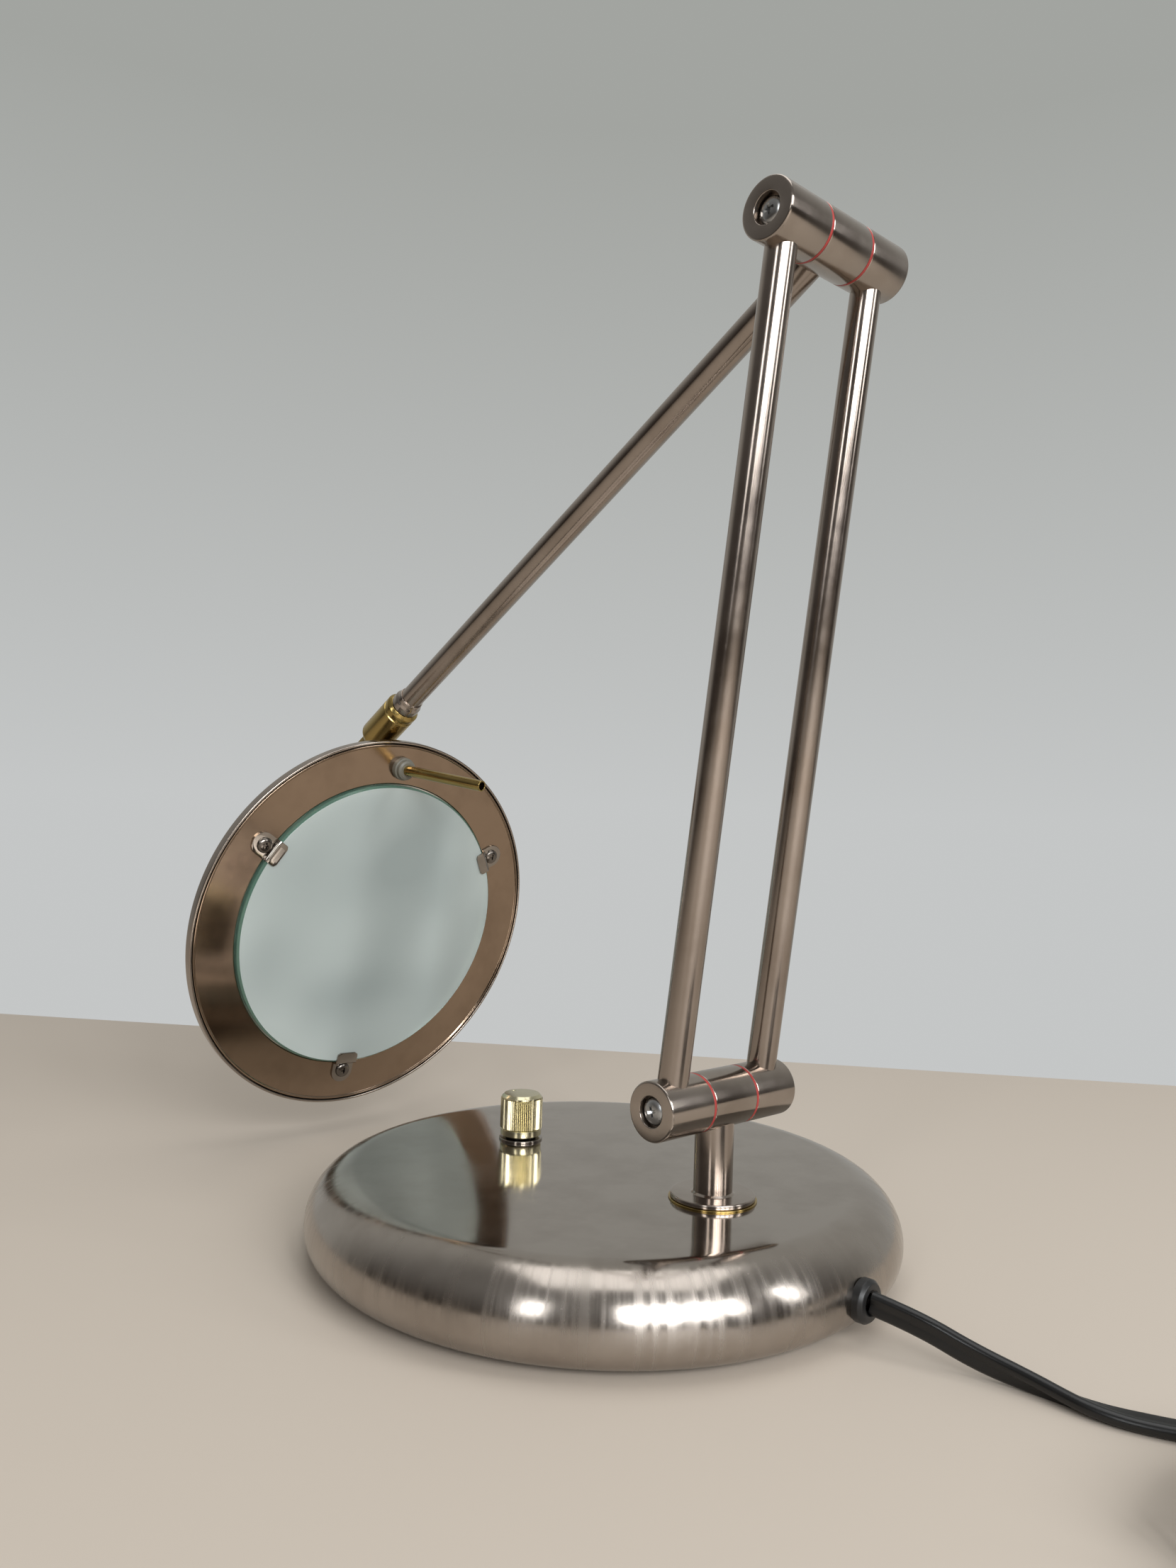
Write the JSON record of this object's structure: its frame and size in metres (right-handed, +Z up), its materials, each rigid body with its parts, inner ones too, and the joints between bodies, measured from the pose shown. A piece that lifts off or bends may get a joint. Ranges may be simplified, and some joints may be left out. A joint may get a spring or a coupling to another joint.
{
  "type": "desk lamp",
  "caption": "Jointed halogen desk lamp: round weighted base with dimmer knob, twin-rod lower arm, tube upper arm, dish head with frosted glass, and mains lead with plug.",
  "frame": {"origin": "middle of the felt pad under the round base", "axes": "+Z up; -Y towards the dimmer knob and the head; +Y towards the mains lead; +X to the right seen from the front"},
  "size_m": [0.2092, 0.4999, 0.3446],
  "materials": {
    "satin_nickel": "satin nickel plate",
    "red_fibre": "red insulating fibre",
    "brass": "polished brass",
    "bright_steel": "bright plated steel",
    "grey_plastic": "grey heat-proof plastic",
    "frosted_glass": "frosted",
    "lamp_glass": "clear quartz",
    "ceramic": "glazed ceramic",
    "reflector_aluminium": "bright anodised",
    "steel_plate": "zinc plated",
    "felt": "black felt",
    "iron": "cast",
    "winding": "yellow winding tape",
    "black_plastic": "black moulding",
    "cord": "black flexible vinyl",
    "plug_brass": "plated"
  },
  "bodies": {
    "base": {"base_shell": "satin_nickel", "base_pad": "felt", "base_plate": "steel_plate", "ballast_ring": "iron", "plate_screw_1": "bright_steel", "plate_screw_2": "bright_steel", "plate_screw_3": "bright_steel", "transformer_core": "iron", "transformer_winding": "winding", "dimmer": "black_plastic", "knob_washer": "satin_nickel", "cord_bushing": "black_plastic", "post_washer": "brass", "cord_lead": "cord", "cord_tail": "cord", "cord_coil": "cord", "plug_body": "black_plastic", "plug_blades": "plug_brass"},
    "knob": {"dimmer_knob": "brass", "dimmer_shaft": "bright_steel"},
    "post_head": {"post": "satin_nickel", "post_flange": "satin_nickel", "post_nut": "bright_steel", "lower_hinge_middle_barrel": "satin_nickel"},
    "lower_arm": {"lower_rod_near": "satin_nickel", "lower_rod_far": "satin_nickel", "lower_hinge_bolt": "bright_steel", "lower_hinge_bolt_nut": "bright_steel", "lower_hinge_far_barrel": "satin_nickel", "lower_hinge_near_barrel": "satin_nickel", "lower_hinge_red_washer_far": "red_fibre", "lower_hinge_red_washer_near": "red_fibre", "upper_hinge_bolt": "bright_steel", "upper_hinge_bolt_nut": "bright_steel", "upper_hinge_far_barrel": "satin_nickel", "upper_hinge_near_barrel": "satin_nickel", "upper_hinge_red_washer_far": "red_fibre", "upper_hinge_red_washer_near": "red_fibre"},
    "upper_arm": {"upper_hinge_middle_barrel": "satin_nickel", "upper_tube": "satin_nickel", "upper_collar": "satin_nickel", "swivel_pin": "bright_steel"},
    "swivel": {"swivel_barrel": "brass", "swivel_grub": "bright_steel"},
    "head": {"tilt_fork": "satin_nickel", "tilt_screw": "bright_steel", "dish_shell": "satin_nickel", "reflector": "reflector_aluminium", "glass": "frosted_glass", "trim_ring": "satin_nickel", "clip_1": "bright_steel", "clip_2": "bright_steel", "clip_3": "bright_steel", "clip_screw_1": "bright_steel", "clip_screw_2": "bright_steel", "clip_screw_3": "bright_steel", "lamp_holder": "ceramic", "lamp_capsule": "lamp_glass", "handle_bush": "grey_plastic", "handle_rod": "brass"}
  },
  "joints": [
    {"name": "dimmer_turn", "type": "hinge", "parent": "base", "child": "knob", "pos_m": [0, -0.0432, 0.0296], "axis": [0, 0, 1], "range_deg": [-150, 150]},
    {"name": "post_swivel", "type": "hinge", "parent": "base", "child": "post_head", "pos_m": [0, 0.0484, 0.0296], "axis": [0, 0, 1], "range_deg": [-116, 124]},
    {"name": "lower_tilt", "type": "hinge", "parent": "post_head", "child": "lower_arm", "pos_m": [0, 0.0484, 0.0624], "axis": [0.9976, -0.0698, 0], "range_deg": [-60, 1.5]},
    {"name": "upper_tilt", "type": "hinge", "parent": "lower_arm", "child": "upper_arm", "pos_m": [0.00249, 0.08407, 0.33507], "axis": [-0.9976, 0.0698, 0], "range_deg": [-1.5, 125]},
    {"name": "head_swivel", "type": "hinge", "parent": "upper_arm", "child": "swivel", "pos_m": [-0.01604, -0.18101, 0.1754], "axis": [-0.0598, -0.8551, -0.515], "range_deg": [-150, 150]},
    {"name": "head_tilt", "type": "hinge", "parent": "swivel", "child": "head", "pos_m": [-0.01604, -0.18101, 0.1754], "axis": [0.9976, -0.0698, 0], "range_deg": [-70, 1.5]}
  ]
}
